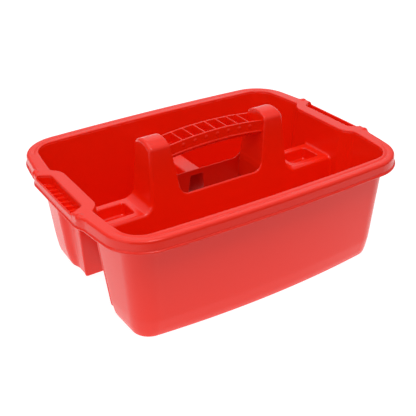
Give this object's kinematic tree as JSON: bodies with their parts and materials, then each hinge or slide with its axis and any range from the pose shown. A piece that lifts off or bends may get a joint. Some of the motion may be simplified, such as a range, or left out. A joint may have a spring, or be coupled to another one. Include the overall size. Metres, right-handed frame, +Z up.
{
  "type": "cleaning caddy",
  "caption": "Red plastic cleaning caddy: a full-length front bin, divided rear bins, a hollow centre ridge with small pockets and an arched ribbed handle, and finned end grips.",
  "frame": {"origin": "on the floor under the middle of the overall box", "axes": "+X along the length to the right, +Y from front to rear, +Z up"},
  "size_m": [0.41, 0.312, 0.181],
  "materials": {
    "red_polypropylene": "satin"
  },
  "bodies": {
    "root": {"centre_ridge": "red_polypropylene", "cross_wall": "red_polypropylene", "front_rim": "red_polypropylene", "front_tub": "red_polypropylene", "grip_channel": "red_polypropylene", "grip_rib_1": "red_polypropylene", "grip_rib_2": "red_polypropylene", "grip_rib_3": "red_polypropylene", "grip_rib_4": "red_polypropylene", "grip_rib_5": "red_polypropylene", "grip_rib_6": "red_polypropylene", "grip_rib_7": "red_polypropylene", "left_end_grip": "red_polypropylene", "left_fin_1": "red_polypropylene", "left_fin_2": "red_polypropylene", "left_fin_3": "red_polypropylene", "left_fin_4": "red_polypropylene", "left_fin_5": "red_polypropylene", "left_fin_6": "red_polypropylene", "left_fin_7": "red_polypropylene", "left_pocket": "red_polypropylene", "left_post": "red_polypropylene", "rear_left_tub": "red_polypropylene", "rear_right_tub": "red_polypropylene", "rear_rim": "red_polypropylene", "right_end_grip": "red_polypropylene", "right_fin_1": "red_polypropylene", "right_fin_2": "red_polypropylene", "right_fin_3": "red_polypropylene", "right_fin_4": "red_polypropylene", "right_fin_5": "red_polypropylene", "right_fin_6": "red_polypropylene", "right_fin_7": "red_polypropylene", "right_pocket": "red_polypropylene", "right_post": "red_polypropylene"}
  },
  "joints": []
}
